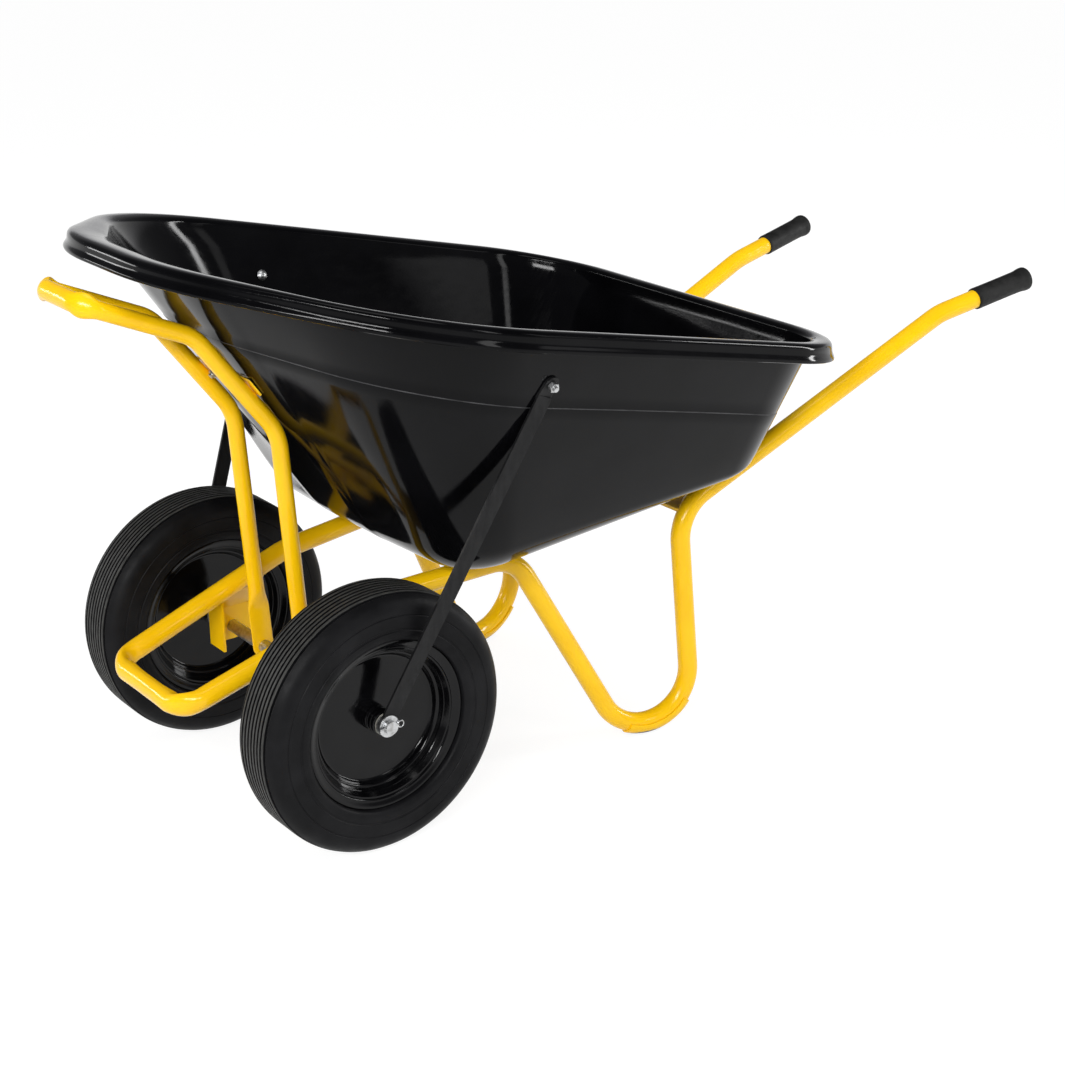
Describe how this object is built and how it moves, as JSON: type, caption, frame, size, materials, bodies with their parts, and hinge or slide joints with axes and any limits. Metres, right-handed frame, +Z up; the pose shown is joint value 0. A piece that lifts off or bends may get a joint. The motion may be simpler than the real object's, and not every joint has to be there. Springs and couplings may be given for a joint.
{
  "type": "two-wheel wheelbarrow",
  "caption": "Garden wheelbarrow with a deep moulded tray on a bent tube frame, ribbed tyres side by side on one axle, long handles with grips, and a tipping hoop at the nose.",
  "frame": {"origin": "middle of the bounding box, on the ground under the wheels and feet", "axes": "+X forward to the nose, +Y to the left side, +Z up"},
  "size_m": [1.6859, 0.9052, 0.8752],
  "materials": {
    "yellow_paint": "smooth yellow powder coat",
    "tray_plastic": "glossy black moulding",
    "black_paint": "black paint, gloss on the wheels",
    "tyre_rubber": "matte ribbed rubber",
    "grip_rubber": "matte moulded rubber",
    "zinc_steel": "bright zinc plate",
    "bush_nylon": "natural nylon"
  },
  "bodies": {
    "frame": {"left_main_tube": "yellow_paint", "right_main_tube": "yellow_paint", "nose_hoop": "yellow_paint", "hoop_cross_plate": "yellow_paint", "front_cross_bar": "yellow_paint", "rear_cross_bar": "yellow_paint", "rear_floor_spacers": "yellow_paint", "left_axle_bracket": "yellow_paint", "right_axle_bracket": "yellow_paint", "axle": "zinc_steel", "left_axle_spacer": "yellow_paint", "right_axle_spacer": "yellow_paint", "tray": "tray_plastic", "left_stay_strap": "black_paint", "right_stay_strap": "black_paint", "left_grip": "grip_rubber", "right_grip": "grip_rubber", "left_foot_shoe": "yellow_paint", "right_foot_shoe": "yellow_paint", "axle_washers": "zinc_steel", "split_pins": "zinc_steel", "stay_bolts": "zinc_steel", "stay_nuts": "zinc_steel", "floor_bolts": "zinc_steel", "floor_nuts": "zinc_steel", "front_wall_bolts": "zinc_steel", "front_wall_nuts": "zinc_steel"},
    "left_wheel": {"left_tyre": "tyre_rubber", "left_rim_outer_half": "black_paint", "left_rim_inner_half": "black_paint", "left_hub": "black_paint", "left_hub_bushes": "bush_nylon"},
    "right_wheel": {"right_tyre": "tyre_rubber", "right_rim_outer_half": "black_paint", "right_rim_inner_half": "black_paint", "right_hub": "black_paint", "right_hub_bushes": "bush_nylon"}
  },
  "joints": [
    {"name": "left_wheel_spin", "type": "hinge", "parent": "frame", "child": "left_wheel", "pos_m": [0.51843, 0.245, 0.2], "axis": [0, 1, 0], "continuous": true},
    {"name": "right_wheel_spin", "type": "hinge", "parent": "frame", "child": "right_wheel", "pos_m": [0.51843, -0.245, 0.2], "axis": [0, 1, 0], "continuous": true}
  ]
}
